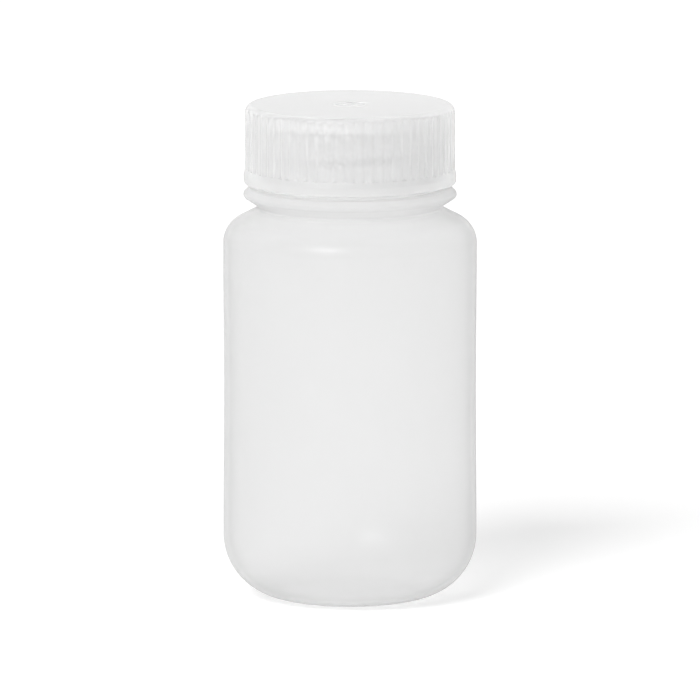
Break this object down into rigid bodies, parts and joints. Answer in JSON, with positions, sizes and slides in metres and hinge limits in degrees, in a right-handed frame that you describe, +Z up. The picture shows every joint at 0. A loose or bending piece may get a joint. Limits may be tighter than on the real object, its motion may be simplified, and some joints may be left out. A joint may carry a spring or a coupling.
{
  "type": "reagent bottle",
  "caption": "Wide-mouth translucent plastic reagent bottle with a round body, sloping shoulder, neck collar and a ribbed screw cap that unscrews and lifts off.",
  "frame": {"origin": "on the bottle's axis, at the level of the flat ring that it stands on", "axes": "+Z up along the bottle's axis, towards the cap; the neck thread starts on the -Y side, which is the front"},
  "size_m": [0.05, 0.05, 0.098],
  "materials": {
    "bottle_plastic": "natural translucent polypropylene, satin",
    "cap_plastic": "natural translucent polypropylene, satin",
    "liner_foam": "white closed-cell polyethylene foam, matt"
  },
  "bodies": {
    "bottle": {"bottle": "bottle_plastic"},
    "liner": {"sealing_liner": "liner_foam"},
    "cap": {"screw_cap": "cap_plastic"}
  },
  "joints": [
    {"name": "cap_lift", "type": "slide", "parent": "bottle", "child": "liner", "axis": [0, 0, 1], "range_m": [0, 0.0212]},
    {"name": "cap_turn", "type": "hinge", "parent": "liner", "child": "cap", "pos_m": [0, 0, 0.09], "axis": [0, 0, 1], "range_deg": [0, 1800]}
  ],
  "couplings": [
    {"joint": "cap_lift", "follows": "cap_turn", "m_per_rad": 0.0006737}
  ]
}
